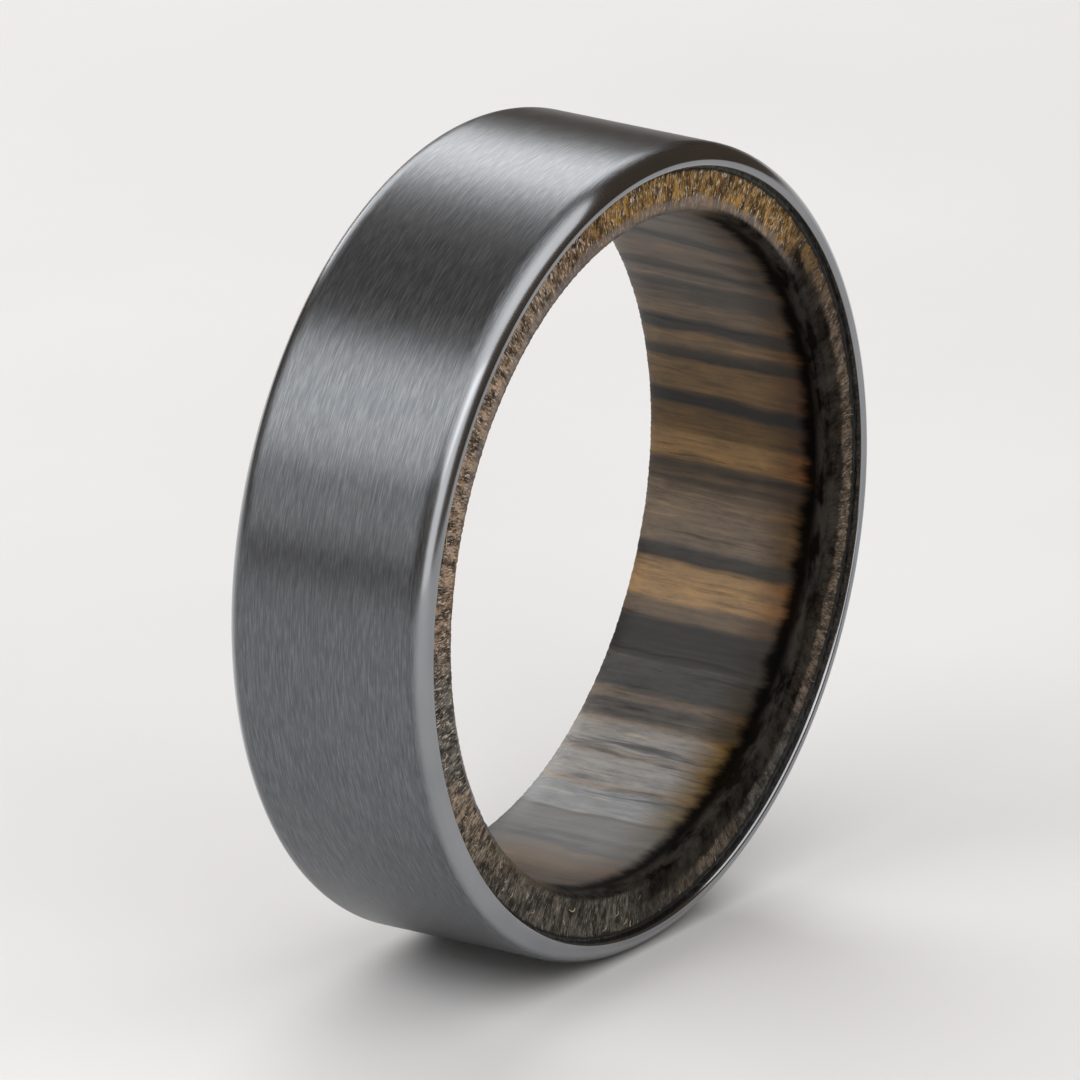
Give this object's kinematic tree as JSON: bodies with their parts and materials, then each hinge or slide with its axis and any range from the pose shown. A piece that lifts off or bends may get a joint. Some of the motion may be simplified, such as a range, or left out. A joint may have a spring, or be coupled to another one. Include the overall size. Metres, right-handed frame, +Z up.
{
  "type": "wedding band",
  "caption": "Flat brushed metal wedding band with polished rounded edges and a glued, turned wood liner with a comfort-curved bore.",
  "frame": {"origin": "centre of the finger bore", "axes": "Y along the finger axis, with one end face towards -Y; +Z up when the band stands on its rim"},
  "size_m": [0.0247, 0.007, 0.0246],
  "materials": {
    "shell_metal": "dark gunmetal, brushed round the circumference, edges polished",
    "adhesive": "cured black adhesive, slightly uneven",
    "liner_wood": "striped brown and grey wood, satin clear coat in the bore, raw end grain on the rims"
  },
  "bodies": {
    "root": {"metal_shell": "shell_metal", "glue_line": "adhesive", "wood_liner": "liner_wood"}
  },
  "joints": []
}
